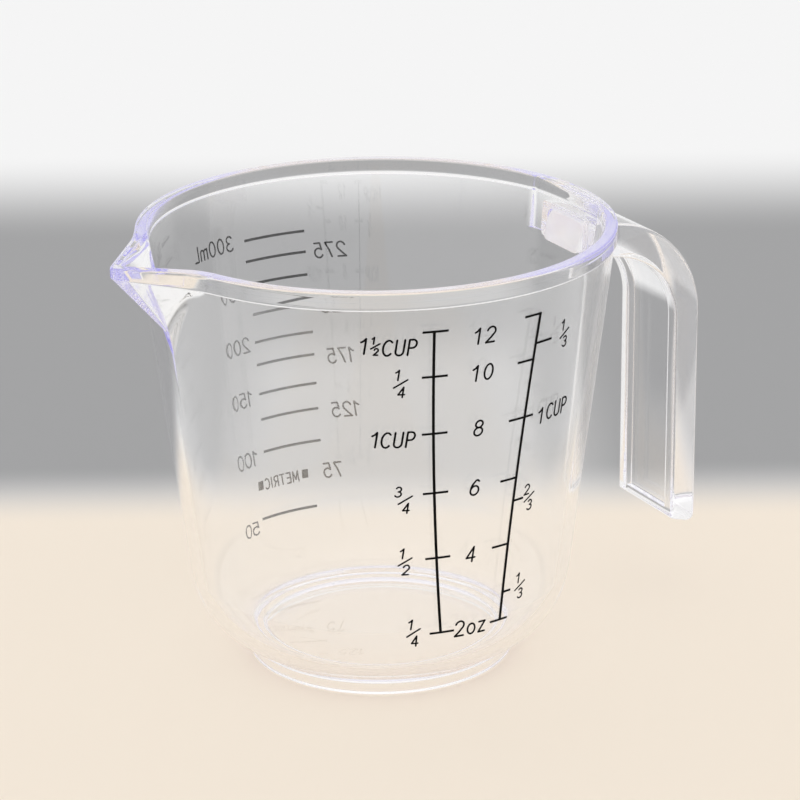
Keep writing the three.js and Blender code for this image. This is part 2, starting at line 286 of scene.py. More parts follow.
def cupOutside(turns):
    # Underside, foot, corner and wall
    arc = cupGrid["arc"]
    foot, footRound, hollowRound = cup["footRadius"], cup["footRound"], cup["recessRound"]
    footInner = foot - cup["footWall"]
    hollowEdge = footInner - (hollowRound + cup["recessDraft"])
    fine = keelLow - cupGrid["fineOut"]
    straight = np.linspace(cornerTop, fine, cupGrid["wall"])[1:-1]
    upper = np.linspace(fine, wallTop, cupGrid["spoutWall"])
    wallHeights = np.concatenate([straight, upper])
    rows = np.concatenate([
        sideBySide(np.linspace(cupGrid["pole"], hollowEdge, cupGrid["base"]), cup["recess"]),
        arcRows(hollowEdge, cup["recess"] - hollowRound, hollowRound, 90, 0, arc),
        arcRows(footInner + footRound, footRound, footRound, 180, 270, arc),
        arcRows(foot - footRound, footRound, footRound, 270, 360, arc),
        quarterRound(wallOut(cornerTop), foot, cup["footHeight"]),
        sideBySide(wallOut(wallHeights), wallHeights),
    ])
    radius = withWedge(turns[None, :], rows[:, :1], rows[:, 1:], outerWedge)
    return radius, levelRows(rows[:, 1], turns)


def cupBand(turns, band):
    # The rim band's lower edge, side and upper edge keep the plan outline, but for its step at the tip
    rounded, edgeRows = cup["edgeRound"], cupGrid["bandEdge"]
    low, high = wallTop + rounded, cup["height"] - rounded
    rows = np.concatenate([
        arcRows(-rounded, low, rounded, 270, 360, cupGrid["arc"]),
        sideBySide(0.0, np.linspace(low, high, cupGrid["band"])[1:-1]),
        arcRows(-rounded, high, rounded, 0, 90, edgeRows),
    ])
    full = band[None, :] + rows[:, :1]
    eased = wedgeRadius(turns[None, :], rows[:, 1:], outerWedge)
    eased = eased + spout["tipEase"] * np.abs(band * np.sin(turns))[None, :]
    plain = np.repeat(np.cos(turns)[None, :] > spout["lipCosine"], len(rows), axis=0)
    plain[-edgeRows:] = True
    return np.where(plain, full, np.minimum(full, eased)), levelRows(rows[:, 1], turns)


def cupRimTop(band, mouth):
    # Straight across from the band's edge to the inside edge
    share = np.linspace(0.0, 1.0, cupGrid["rimTop"])[1:-1, None]
    radius = (band - cup["edgeRound"])[None, :] * (1 - share) + (mouth + cup["edgeRound"])[None, :] * share
    return radius, np.full_like(radius, cup["height"])


def cupInside(turns, mouth):
    # Inside edge, inside wall with the flat panel, corner and floor
    rounded = cup["edgeRound"]
    edge = arcRows(0.0, cup["height"] - rounded, rounded, 90, 180, cupGrid["arc"])
    ledge = 0.03  # millimetres of height in which the panel's lower end steps back to the wall
    high = np.linspace(cup["height"] - rounded, panelBottom + ledge, cupGrid["panelWall"])[1:]
    fine = keelLow - cupGrid["fineIn"]
    low = np.linspace(panelBottom, fine, cupGrid["underPanel"])
    below = np.linspace(fine, cornerTop, cupGrid["wall"])[1:-1]
    heights = np.concatenate([high, low, below])
    tall = heights[:, None]
    body = withWedge(turns[None, :], wallIn(tall), tall, innerWedge)
    inPanel = panelShare(turns)[None, :] * (tall > panelBottom + ledge / 3)
    wall = inPanel * panelAt(tall) / panelAhead(turns)[None, :] + (1 - inPanel) * body
    basin = quarterRound(wallIn(cornerTop), cup["footRadius"] - cup["floorInset"], floorHeight)[::-1]
    flat = sideBySide(np.linspace(basin[-1, 0], cupGrid["pole"], cupGrid["base"])[1:], floorHeight)
    floor = np.concatenate([basin, flat])
    radius = np.concatenate([
        (mouth + rounded)[None, :] + edge[:, :1], wall, np.repeat(floor[:, :1], len(turns), axis=1),
    ])
    return radius, levelRows(np.concatenate([edge[:, 1], heights, floor[:, 1]]), turns)


def buildCup():
    # One closed skin: profile rows run from the middle of the underside, up the outside, over the
    # rim, down the inside to the middle of the floor, and each row is carried round by its own radius
    turns = cupTurns()
    band = bandRadius(turns)
    level = np.full_like(turns, cup["height"])
    mouth = withWedge(turns, wallIn(level), level, innerWedge)
    flat = panelShare(turns)
    mouth = flat * panelPlane / panelAhead(turns) + (1 - flat) * mouth
    stretches = [cupOutside(turns), cupBand(turns, band), cupRimTop(band, mouth), cupInside(turns, mouth)]
    radius, height = (np.concatenate(tables) for tables in zip(*stretches))
    x = radius * np.cos(turns)[None, :]
    y = radius * np.sin(turns)[None, :]

    # The rim's top dips towards the spout's tip
    dipStart = cup["rimRadius"] - spout["dipInset"]
    towards = np.clip((-x - dipStart) / (spoutReach - dipStart), 0, 1)
    lift = np.clip((height - wallTop) / cup["bandHeight"], 0.0, 1.0)
    height = height - spout["dip"] * towards * lift
    middles = (0.0, 0.0, cup["recess"]), (0.0, 0.0, floorHeight)
    return closedSkin("cup_shell", np.stack([x, y, height], axis=-1), *middles)


# The handle and the tenon at its root, which goes through a window in the cup's panel
handle = {
    "width": 20.4,
    "fingerGap": 15.0,
    "depth": 5.4,
    "bottom": 17.1,
    "endSlope": 1.0,  # the free end is this much lower at its back
    "slopeReach": 30.0,  # and is square to the grip this far up
    "archOuter": 22.0,
    "outerRise": 20.7,
    "archInner": 15.5,
    "innerRise": 14.5,
    "rootHeight": 6.95,
    "rootDrop": 1.2,
    "flange": 3.0,
    "channel": 1.25,
    "channelTurn": (55.0, 85.0),  # degrees up the arch between which the channel runs out
    "endWall": 1.9,
    "cornerRound": 1.6,
    "edgeRound": 0.7,
    "lipRound": 0.3,
    "channelRound": 0.35,
}
tenon = {
    "width": 13.4,
    "shoulderTop": 0.4,
    "shoulderBottom": 0.45,
    "proud": 0.1,
    "lean": 0.31,
    "rise": 0.12,  # its top climbs by this much for each millimetre outwards
    "round": 1.8,
    "endRound": 0.7,
    "gap": 0.05,
    "cutIn": 8.0,  # the window's cutter reaches this far inside the panel
    "cutOut": 6.0,  # and this far outside the rim
}

# Rows of the handle's grid in each stretch, and points in each round of a section
handleGrid = {
    "end": 9,
    "mouth": 6,
    "grip": 30,
    "arch": 52,
    "root": 14,  # of the arch's rows, these are held off the cup's wall
    "round": 6,
    "windowRound": 8,
}

gripFront = cup["rimRadius"] + handle["fingerGap"]
gripBack = gripFront + handle["depth"]
rootTop = wallTop - handle["rootDrop"]
rootBottom = rootTop - handle["rootHeight"]
tenonTop = rootTop - tenon["shoulderTop"]
tenonBottom = rootBottom + tenon["shoulderBottom"]
tenonEnd = panelPlane - tenon["proud"]

# Directions in which a section's outline reaches and leaves each of its corners
comingIn = np.array([[1, 0], [0, 1], [-1, 0], [0, -1], [1, 0], [0, 1], [1, 0], [0, -1]], float)
goingOut = np.array([[0, 1], [-1, 0], [0, -1], [1, 0], [0, 1], [1, 0], [0, -1], [1, 0]], float)


def tenonHigh(x):
    return tenonTop + tenon["rise"] * (x - tenonEnd)


def againstWall(y, z):
    # Where the root meets the cup: the wall's cone, one thin gap further out
    return np.sqrt((wallOut(z) + tenon["gap"]) ** 2 - y ** 2)


def roundedLoop(corners, radii, count):
    # Corner p, reached along a and left along b, is turned by p - r a (1 - sin t) + r b (1 - cos t),
    # for t from 0 to 90 degrees
    turn = np.linspace(0.0, math.pi / 2, count)[None, None, :, None]
    p = corners[:, :, None, :]
    r = radii[:, :, None, None]
    a = comingIn[None, :corners.shape[1], None, :]
    b = goingOut[None, :corners.shape[1], None, :]
    loops = p - r * a * (1 - np.sin(turn)) + r * b * (1 - np.cos(turn))
    return loops.reshape(len(corners), -1, 2)


def channelCorners(half, lip, deep, span):
    # A section's corners as (sideways, depth): its four outer edges, then the channel's
    half, lip, deep, span = np.broadcast_arrays(half, lip, deep, span)
    outer = [(half, 0), (half, span), (-half, span), (-half, 0)]
    channel = [(-lip, 0), (-lip, deep), (lip, deep), (lip, 0)]
    return np.stack([sideBySide(side, depth) for side, depth in outer + channel], axis=1)


def handleStations():
    # Rows of (front x, front z, back x, back z, channel depth, end inset) from the grip's bottom to the root
    edge, corner, fillet = handle["edgeRound"], handle["cornerRound"], handle["channelRound"]
    t = np.linspace(0.0, math.pi / 2, handleGrid["end"])
    rise = corner * (1 - np.cos(t))
    inset = corner * (1 - np.sin(t))
    small = np.where(rise < edge, edge - np.sqrt(np.maximum(edge ** 2 - (edge - rise) ** 2, 0.0)), 0.0)
    z = handle["bottom"] + rise
    end = sideBySide(gripFront + small, z, gripBack - inset, z, 0.0, small)

    start = handle["bottom"] + handle["endWall"]
    step = 0.02  # the channel's end wall falls away within this much
    t = np.linspace(0.0, math.pi / 2, handleGrid["mouth"])
    z = np.concatenate([[start - step], start + fillet * (1 - np.cos(t))])
    deep = np.concatenate([[0.0], handle["channel"] - fillet * (1 - np.sin(t))])
    mouth = sideBySide(gripFront, z, gripBack, z, deep, 0.0)

    outerZ = rootTop - handle["outerRise"]
    innerZ = rootBottom - handle["innerRise"]
    z = np.linspace(start + 2 * fillet, innerZ, handleGrid["grip"])[:-1]
    backZ = z + (outerZ - innerZ) * np.clip((z - start) / (innerZ - start), 0, 1) ** 2
    limb = sideBySide(gripFront, z, gripBack, backZ, handle["channel"], 0.0)
    grip = np.concatenate([end, mouth, limb])
    up = (grip[:, 1] - handle["bottom"]) / handle["slopeReach"]
    grip[:, 3] -= handle["endSlope"] * np.clip(1 - up, 0, 1)

    # Two quarter ellipses, front and back, from the grip to the root
    turn = np.radians(np.linspace(0.0, 90.0, handleGrid["arch"]))
    frontX = gripFront - handle["archInner"] * (1 - np.cos(turn))
    frontZ = innerZ + handle["innerRise"] * np.sin(turn)
    backX = gripBack - handle["archOuter"] * (1 - np.cos(turn))
    backZ = outerZ + handle["outerRise"] * np.sin(turn)
    first, last = np.radians(handle["channelTurn"])
    deep = handle["channel"] * (1 - smoothStep((turn - first) / (last - first)))
    return np.concatenate([grip, sideBySide(frontX, frontZ, backX, backZ, deep, 0.0)])


def tenonRows():
    # The tenon's outline where it leaves the wall, then at its end, which leans and has a soft edge
    half = tenon["width"] / 2
    thick = np.array([tenonHigh(wallTopRadius), tenonTop]) - tenonBottom  # at the wall and at the end
    lip = 0.6 * half  # the channel's corners lie on the flat underside here
    radii = np.array([[tenon["round"]] * 4 + [0.0] * 4] * 2)
    loops = roundedLoop(channelCorners(half, lip, 0 * thick, thick), radii, handleGrid["round"])
    y = loops[:, :, 0]
    z = tenonBottom + loops[:, :, 1]
    t = np.linspace(0.0, math.pi / 2, handleGrid["round"])[:, None]
    shrink = tenon["endRound"] * (1 - np.cos(t))
    middle = (tenonTop + tenonBottom) / 2
    endX = tenonEnd - tenon["lean"] * (tenonTop - z[1])
    capX = endX[None, :] + tenon["endRound"] * (1 - np.sin(t))
    capY = y[1:] * (1 - shrink / half)
    capZ = middle + (z[1:] - middle) * (1 - shrink / (thick[1] / 2))
    start = np.stack([againstWall(y[:1], z[:1]), y[:1], z[:1]], axis=-1)
    return np.concatenate([start, np.stack([capX, capY, capZ], axis=-1)])


def buildHandle():
    # A channel section carried from the bottom of the grip round the arch to the root, then a
    # narrower tenon that goes on through the wall
    stations = handleStations()
    front, back = stations[:, 0:2], stations[:, 2:4]
    deep, inset = stations[:, 4], stations[:, 5]
    span = np.linalg.norm(back - front, axis=1)
    half = handle["width"] / 2 - inset
    edge, lipEdge, deepEdge = handle["edgeRound"], handle["lipRound"], handle["channelRound"]
    sizes = np.array([edge, edge, edge, edge, lipEdge, deepEdge, deepEdge, lipEdge])
    radii = np.repeat(sizes[None, :], len(span), axis=0)
    radii[:, 4:] = np.minimum(radii[:, 4:], deep[:, None] / 2.2)  # the channel's rounds fit its depth
    loops = roundedLoop(channelCorners(half, half - handle["flange"], deep, span), radii, handleGrid["round"])
    along = (back - front) / span[:, None]
    x = front[:, None, 0] + loops[:, :, 1] * along[:, None, 0]
    z = front[:, None, 1] + loops[:, :, 1] * along[:, None, 1]
    y = loops[:, :, 0]
    atRoot = np.arange(len(span)) >= len(span) - handleGrid["root"]
    x = np.where(atRoot[:, None], np.maximum(x, againstWall(y, z)), x)
    limb = np.stack([x, y, z], axis=-1)
    shoulder = np.stack([againstWall(y[-1], z[-1]), y[-1], z[-1]], axis=-1)
    grid = np.concatenate([limb, shoulder[None], tenonRows()])
    return closedSkin("handle_shell", grid, grid[0].mean(axis=0), grid[-1].mean(axis=0))


def cutWindow(piece):
    # The tenon's own outline, one gap larger, cut right through the wall
    gap = tenon["gap"]
    half = tenon["width"] / 2 + gap
    low = tenonBottom - gap
    ends = np.array([panelPlane - tenon["cutIn"], cup["rimRadius"] + tenon["cutOut"]])
    tops = tenonHigh(ends) + gap
    corners = np.array([[[half, low], [half, high], [-half, high], [-half, low]] for high in tops])
    loops = roundedLoop(corners, np.full((2, 4), tenon["round"] + gap), handleGrid["windowRound"])
    count = loops.shape[1]
    verts = np.concatenate([np.repeat(ends, count)[:, None], loops.reshape(-1, 2)], axis=1)
    faces = gridFaces(2, count)
    faces += [list(range(count)), list(range(count, 2 * count))]
    cutter = newPiece("window_cutter", verts, faces)
    cut = piece.modifiers.new("window", "BOOLEAN")
    cut.operation = "DIFFERENCE"
    cut.solver = "EXACT"
    cut.object = cutter
    bpy.context.view_layer.update()
    seen = piece.evaluated_get(bpy.context.evaluated_depsgraph_get())
    opened = bpy.data.meshes.new_from_object(seen)
    piece.modifiers.remove(cut)
    piece.data = opened
    opened.shade_smooth()
    opened.set_sharp_from_angle(angle=sharpAngle)
    bpy.data.objects.remove(cutter)
    print("window cut:", len(opened.polygons), "faces left")


cupShell = buildCup()
cutWindow(cupShell)
handleShell = buildHandle()


class Wire:
    # One socket of a node tree, so that shader maths reads as plain Python
    def __init__(self, tree, socket):
        self.tree = tree
        self.socket = socket

    def make(self, kind, settings=None, inputs=None, output=0):
        node = self.tree.nodes.new(kind)
        for name, value in (settings or {}).items():
            setattr(node, name, value)
        for name, value in (inputs or {}).items():
            if isinstance(value, Wire):
                value.feed(node, name)
            else:
                node.inputs[name].default_value = value
        return Wire(self.tree, node.outputs[output])

    def feed(self, node, name):
        self.tree.links.new(self.socket, node.inputs[name])

    def maths(self, operation, first, second):
        return self.make("ShaderNodeMath", {"operation": operation}, {0: first, 1: second})

    def __add__(self, other):
        return self.maths("ADD", self, other)

    __radd__ = __add__

    def __mul__(self, other):
        return self.maths("MULTIPLY", self, other)

    __rmul__ = __mul__

    def __sub__(self, other):
        return self.maths("SUBTRACT", self, other)

    def __rsub__(self, other):
        return self.maths("SUBTRACT", other, self)

    def __lt__(self, other):
        return self.maths("LESS_THAN", self, other)

    def __gt__(self, other):
        return self.maths("GREATER_THAN", self, other)


def newMaterial(name):
    material = bpy.data.materials.new(name)
    material.use_nodes = True
    tree = material.node_tree
    place = tree.nodes.new("ShaderNodeTexCoord")
    return material, tree.nodes["Principled BSDF"], Wire(tree, place.outputs["Object"])


def noise(place, scale, detail):
    return place.make("ShaderNodeTexNoise", {}, {"Vector": place, "Scale": scale, "Detail": detail})


def fade(value, ends):
    # Nothing before the first end, one past the second, and a smooth step between them
    return value.make(
        "ShaderNodeMapRange", {"interpolation_type": "SMOOTHSTEP"},
        {"Value": value, "From Min": ends[0], "From Max": ends[1]},
    )


def mixed(share, low, high):
    return share.make("ShaderNodeMix", {"data_type": "RGBA"}, {"Factor": share, 6: low, 7: high}, 2)


# Both mouldings are of one plastic; lengths in millimetres
clear = {
    "colour": (1.0, 1.0, 1.0, 1.0),
    "index": 1.575,
    "tint": (0.62, 0.58, 1.0, 1.0),
    "density": 1.8,
    "polish": 0.01,
    "haze": 0.015,
    "hazeScale": 90.0,
    "rippleScale": 40.0,
    "rippleStrength": 0.012,
    "rippleHeight": 0.4,
    "frost": 0.5,  # added to the roughness of the root that is set in its window
    "frostReach": 48.5,  # out to here from the axis
    "frostInside": 4.0,  # and in past the tenon's end
    "frostMargin": 0.2,  # and round the tenon
    "veilIndex": 2.4,  # of the faint surface haze on the front of the wall
    "veilRough": 0.8,
    "veilEdge": 12.0,  # over which it grows from nothing at the wall's two sides
    "veilSide": 0.1,  # on the handle it covers what lies within this much of its side face
    "veilStart": 2.0,  # from this far outside the rim
}


def rootFrost(x, y, z):
    # One in a box about the tenon and its window, nothing elsewhere
    margin = clear["frostMargin"]
    aside = y.maths("ABSOLUTE", y, 0.0)
    mask = (x < (axisX + clear["frostReach"]) * mm) * (x > (axisX + tenonEnd - clear["frostInside"]) * mm)
    mask = mask * (aside < (tenon["width"] / 2 + margin) * mm)
    return mask * (z > (tenonBottom - margin) * mm) * (z < (rootTop + margin) * mm)


def frontVeil(x, y, z):
    # One on the outside of the wall at the front and on the handle's near side face, and nothing for
    # light that comes from inside the plastic
    out = x - axisX * mm
    distance = out * out + y * y
    halfWall = z * cup["draft"] + (wallOut(0.0) - cup["wall"] / 2) * mm
    mask = (distance > halfWall * halfWall) * (distance < (cup["rimRadius"] * mm) ** 2)
    mask = mask * (z > cornerTop * mm) * (z < wallTop * mm)
    forward = y * (-1 / (clear["veilEdge"] * mm))
    mask = mask * y.maths("MAXIMUM", y.maths("MINIMUM", forward, 1.0), 0.0)
    onSide = y < (clear["veilSide"] - handle["width"] / 2) * mm
    onSide = onSide * (out > (cup["rimRadius"] + clear["veilStart"]) * mm)
    fromInside = y.make("ShaderNodeNewGeometry", output="Backfacing")
    return (mask + onSide) * (1 - fromInside)


def clearPlastic():
    # Polished mouldings: almost no haze, a faint flow ripple, and a violet cast that grows with depth
    material, surface, place = newMaterial("clear_plastic")
    surface.inputs["Base Color"].default_value = clear["colour"]
    surface.inputs["Transmission Weight"].default_value = 1.0
    surface.inputs["IOR"].default_value = clear["index"]
    surface.inputs["Coat IOR"].default_value = clear["veilIndex"]
    surface.inputs["Coat Roughness"].default_value = clear["veilRough"]
    x, y, z = (place.make("ShaderNodeSeparateXYZ", {}, {0: place}, i) for i in range(3))
    cloud = noise(place, clear["hazeScale"], 3.0)
    rough = cloud * clear["haze"] + clear["polish"] + rootFrost(x, y, z) * clear["frost"]
    rough.feed(surface, "Roughness")
    frontVeil(x, y, z).feed(surface, "Coat Weight")
    ripple = noise(place, clear["rippleScale"], 1.0)
    swell = {"Strength": clear["rippleStrength"], "Distance": clear["rippleHeight"] * mm, "Height": ripple}
    place.make("ShaderNodeBump", {}, swell).feed(surface, "Normal")
    depth = {"Color": clear["tint"], "Density": clear["density"]}
    inside = place.make("ShaderNodeVolumeAbsorption", {}, depth)
    inside.feed(material.node_tree.nodes["Material Output"], "Volume")
    return material


# Screen print: the dark and the light end of each scale's tone
ink = {
    "usTones": (0.001, 0.005),
    "metricTones": (0.002, 0.01),
    "speckScale": 2600.0,
    "rough": 0.45,
    "roughSpread": 0.2,
    "sheen": 0.05,
}


def printInk(name, tones):
    # Near black, a little uneven, with a fine broken sheen
    material, surface, place = newMaterial(name)
    speck = noise(place, ink["speckScale"], 2.0)
    dark, light = ((tone, tone, tone, 1.0) for tone in tones)
    mixed(speck, dark, light).feed(surface, "Base Color")
    rough = speck * ink["roughSpread"] + ink["rough"]
    rough.feed(surface, "Roughness")
    surface.inputs["Specular IOR Level"].default_value = ink["sheen"]
    return material


plastic = clearPlastic()
usInk = printInk("black_ink", ink["usTones"])
metricInk = printInk("thin_black_ink", ink["metricTones"])
for shell, node in ((cupShell, "cup_body"), (handleShell, "handle")):
    shell.data.materials.clear()
    shell.data.materials.append(plastic)
    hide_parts(node)
    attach(shell, "root")
for name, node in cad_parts.items():
    if "scale" in name or "mark" in name:
        node.data.materials.clear()
        node.data.materials.append(metricInk if "metric" in name else usInk)
print("materials set")

# Scale figures: plain single-stroke characters, drawn in units of the cap height
lettering = {
    "cap": 2.92,  # millimetres between the middles of the top and bottom strokes
    "unitCap": 2.1,  # the same for the unit word
    "small": 1.95,  # and for the figures of a fraction
    "tiny": 1.25,  # and for the half beside the top cup figure
    "stroke": 0.36,
    "smallStroke": 0.3,
    "squareWide": 1.4,  # the marks beside the unit word
    "squareTall": 1.8,
    "gap": 0.28,  # between neighbouring characters, in cap heights
    "wideGap": 0.52,  # after a one
    "slant": 0.1,
    "lift": 0.04,
    "thick": 0.05,
}

# A fraction's bar, half its run and rise, and its two figures' places, in cap heights
fractionPlan = {"bar": (0.62, 0.38), "top": (-0.36, 0.87), "bottom": (0.13, -0.85), "wideTop": -0.66}
usFacing = -math.pi / 2
metricFacing = math.pi / 2


def run(*points):
    return np.array(points, float)


def arc(x, y, wide, tall, start, stop):
    # Part of an ellipse about x, y from one turn to another, in degrees, with a point about every 15
    turn = np.radians(np.linspace(start, stop, 3 + round(abs(stop - start) / 15)))
    return np.stack([x + wide * np.cos(turn), y + tall * np.sin(turn)], axis=-1)


def path(*pieces):
    return np.concatenate(pieces)


# Each character's width and its strokes; a corner is where two strokes' round ends meet
characters = {
    "0": (0.56, [arc(0.28, 0.5, 0.28, 0.5, 90, 450)]),
    "1": (0.28, [run((0.0, 0.76), (0.13, 0.83), (0.28, 1.0)), run((0.28, 1.0), (0.28, 0.0))]),
    "2": (0.58, [
        path(arc(0.29, 0.71, 0.28, 0.29, 165, -25), run((0.3, 0.3), (0.0, 0.0))),
        run((0.0, 0.0), (0.58, 0.0)),
    ]),
    "3": (0.54, [arc(0.25, 0.76, 0.24, 0.24, 150, -90), arc(0.25, 0.26, 0.29, 0.26, 90, -150)]),
    "4": (0.58, [
        run((0.42, 1.0), (0.0, 0.27)), run((0.0, 0.27), (0.58, 0.27)),
        run((0.42, 1.0), (0.42, 0.0)),
    ]),
    "5": (0.55, [
        run((0.5, 1.0), (0.1, 1.0)), run((0.1, 1.0), (0.04, 0.54)),
        path(run((0.04, 0.54)), arc(0.26, 0.32, 0.29, 0.32, 115, -150)),
    ]),
    "6": (0.56, [
        arc(0.28, 0.31, 0.28, 0.31, 0, 360),
        path(arc(0.5, 0.31, 0.5, 0.69, 180, 122), arc(0.36, 0.78, 0.19, 0.22, 110, 35)),
    ]),
    "7": (0.52, [run((0.0, 1.0), (0.52, 1.0)), run((0.52, 1.0), (0.3, 0.5), (0.16, 0.0))]),
    "8": (0.56, [arc(0.28, 0.77, 0.24, 0.23, 90, 450), arc(0.28, 0.27, 0.28, 0.27, 90, 450)]),
    "C": (0.5, [arc(0.3, 0.5, 0.3, 0.5, 48, 312)]),
    "U": (0.48, [path(run((0.0, 1.0)), arc(0.24, 0.25, 0.24, 0.25, 180, 360), run((0.48, 1.0)))]),
    "P": (0.46, [
        run((0.0, 0.0), (0.0, 1.0)),
        path(run((0.0, 1.0)), arc(0.22, 0.73, 0.24, 0.27, 90, -90), run((0.0, 0.46))),
    ]),
    "o": (0.52, [arc(0.26, 0.34, 0.26, 0.34, 90, 450)]),
    "z": (0.44, [
        run((0.0, 0.68), (0.44, 0.68)), run((0.44, 0.68), (0.0, 0.0)),
        run((0.0, 0.0), (0.44, 0.0)),
    ]),
    "m": (0.7, [
        run((0.0, 0.0), (0.0, 0.68)),
        path(arc(0.175, 0.47, 0.175, 0.21, 180, 0), run((0.35, 0.0))),
        path(arc(0.525, 0.47, 0.175, 0.21, 180, 0), run((0.7, 0.0))),
    ]),
    "L": (0.42, [run((0.0, 1.0), (0.0, 0.0)), run((0.0, 0.0), (0.42, 0.0))]),
    "M": (0.62, [
        run((0.0, 0.0), (0.04, 1.0)), run((0.04, 1.0), (0.31, 0.2)),
        run((0.31, 0.2), (0.58, 1.0)), run((0.58, 1.0), (0.62, 0.0)),
    ]),
    "E": (0.44, [
        run((0.44, 1.0), (0.0, 1.0)), run((0.0, 1.0), (0.0, 0.0)),
        run((0.0, 0.0), (0.44, 0.0)), run((0.0, 0.52), (0.38, 0.52)),
    ]),
    "T": (0.5, [run((0.0, 1.0), (0.5, 1.0)), run((0.25, 1.0), (0.25, 0.0))]),
    "R": (0.5, [
        run((0.0, 0.0), (0.0, 1.0)),
        path(run((0.0, 1.0)), arc(0.22, 0.74, 0.24, 0.26, 90, -90), run((0.0, 0.48))),
        run((0.24, 0.48), (0.5, 0.0)),
    ]),
    "I": (0.04, [run((0.02, 0.0), (0.02, 1.0))]),
}


def strokeSolid(line, width, ends=1.0):
    # A flat bar carried along a line: half widths left and right of it, and round ends where the
    # half width falls to nothing as the root of one less the square of the way past the end;
    # ends of 0 leaves it square
    capRows = 5
    thinnest = 0.02  # share of the width that is left at a round end
    ahead = np.gradient(line, axis=0)
    ahead /= np.linalg.norm(ahead, axis=1, keepdims=True)
    past = np.sin(np.linspace(0.0, math.pi / 2, capRows + 1)[1:])[:, None]
    start = line[:1] - ahead[:1] * past[::-1] * width / 2
    stop = line[-1:] + ahead[-1:] * past * width / 2
    middle = np.concatenate([start, line, stop])
    ahead = np.pad(ahead, ((capRows, capRows), (0, 0)), mode="edge")
    taper = np.sqrt(np.maximum(1 - ends * past ** 2, thinnest ** 2))
    half = np.concatenate([taper[::-1], np.ones((len(line), 1)), taper]) * width / 2
    across = np.stack([-ahead[:, 1], ahead[:, 0]], axis=-1) * half
    thick = lettering["thick"] / 2
    low, high = np.full((len(middle), 1), -thick), np.full((len(middle), 1), thick)
    ring = np.stack([
        np.hstack([middle - across, low]), np.hstack([middle + across, low]),
        np.hstack([middle + across, high]), np.hstack([middle - across, high]),
    ], axis=1)
    rows, corner = len(middle), np.arange(4)
    faces = gridFaces(rows, 4) + [corner.tolist(), (4 * rows - 1 - corner).tolist()]
    return ring.reshape(-1, 3), np.array(faces)


def joined(parts):
    # Several sets of points and quads as one
    verts, faces = zip(*parts)
    starts = np.cumsum([0] + [len(points) for points in verts[:-1]])
    return np.concatenate(verts), np.concatenate([quads + start for quads, start in zip(faces, starts)])


def moved(part, x, z):
    points, faces = part
    return points + np.array([x, z, 0.0]), faces


def words(text, cap, stroke, gap=lettering["gap"]):
    # A row of characters, centred on its own middle and slanted
    wide = sum(characters[letter][0] for letter in text) + gap * (len(text) - 1)
    x = -wide / 2
    solids = []
    for letter in text:
        width, lines = characters[letter]
        for line in lines:
            flat = (line + np.array([x, -0.5])) * cap
            flat[:, 0] += flat[:, 1] * lettering["slant"]
            solids.append(strokeSolid(flat, stroke))
        x += width + gap
    return joined(solids)


def fraction(top, bottom, cap, topShift=fractionPlan["top"][0]):
    # Two small figures, one above and one below a bar that rises to the right
    stroke = lettering["smallStroke"]
    barRun, barRise = fractionPlan["bar"]
    shift, drop = fractionPlan["bottom"]
    slope = run((-barRun, -barRise), (0.0, 0.0), (barRun, barRise)) * cap
    return joined([
        moved(words(top, cap, stroke), topShift * cap, fractionPlan["top"][1] * cap),
        moved(words(bottom, cap, stroke), shift * cap, drop * cap),
        strokeSolid(slope, stroke),
    ])


def onWall(points, facing, offset, height):
    # Offset along the wall and height up it become a turn and a radius on the cone
    z = height + points[:, 1]
    radius = wallOut(np.maximum(z, cornerTop)) + lettering["lift"] + lettering["thick"] / 2 + points[:, 2]
    turn = facing + (offset + points[:, 0]) / radius
    return np.stack([radius * np.cos(turn), radius * np.sin(turn), z], axis=-1)


def printLabels(name, facing, tone, labels):
    solids = [(onWall(points, facing, offset, height), faces) for (points, faces), offset, height in labels]
    verts, faces = joined(solids)
    piece = newPiece(name, verts, faces.tolist())
    piece.data.materials.append(tone)
    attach(piece, "root")
    print(name + ":", len(labels), "labels")


def large(text, gap=lettering["gap"]):
    return words(text, lettering["cap"], lettering["stroke"], gap)


def small(top, bottom, topShift=fractionPlan["top"][0]):
    return fraction(top, bottom, lettering["small"], topShift)


def square():
    wide = lettering["squareWide"]
    end = (lettering["squareTall"] - wide) / 2
    return strokeSolid(run((0.0, -end), (0.0, end)), wide, 0.0)


# Each label, its offset along the wall from the middle of its scale, and its height
printLabels("us_ounce_numerals", usFacing, usInk, [
    (large("12", lettering["wideGap"]), -1.1, 75.8),
    (large("10", lettering["wideGap"]), -1.1, 68.6),
    (large("8"), -1.2, 57.7),
    (large("6"), -1.2, 45.8),
    (large("4"), -1.1, 32.2),
    (large("2oz"), -0.3, 17.1),
])
printLabels("us_cup_labels", usFacing, usInk, [
    (large("1"), -23.3, 75.4),
    (fraction("1", "2", lettering["tiny"]), -21.1, 75.4),
    (large("CUP"), -16.8, 75.0),
    (small("1", "4"), -16.3, 68.0),
    (large("1"), -20.5, 57.1),
    (large("CUP"), -16.2, 57.0),
    (small("3", "4", fractionPlan["wideTop"]), -14.3, 44.9),
    (small("1", "2"), -13.7, 32.3),
    (small("1", "4"), -11.4, 17.4),
    (small("1", "3"), 18.0, 72.0),
    (large("1"), 12.8, 56.9),
    (large("CUP"), 17.6, 57.2),
    (small("2", "3"), 11.5, 40.9),
    (small("1", "3"), 10.8, 22.7),
])
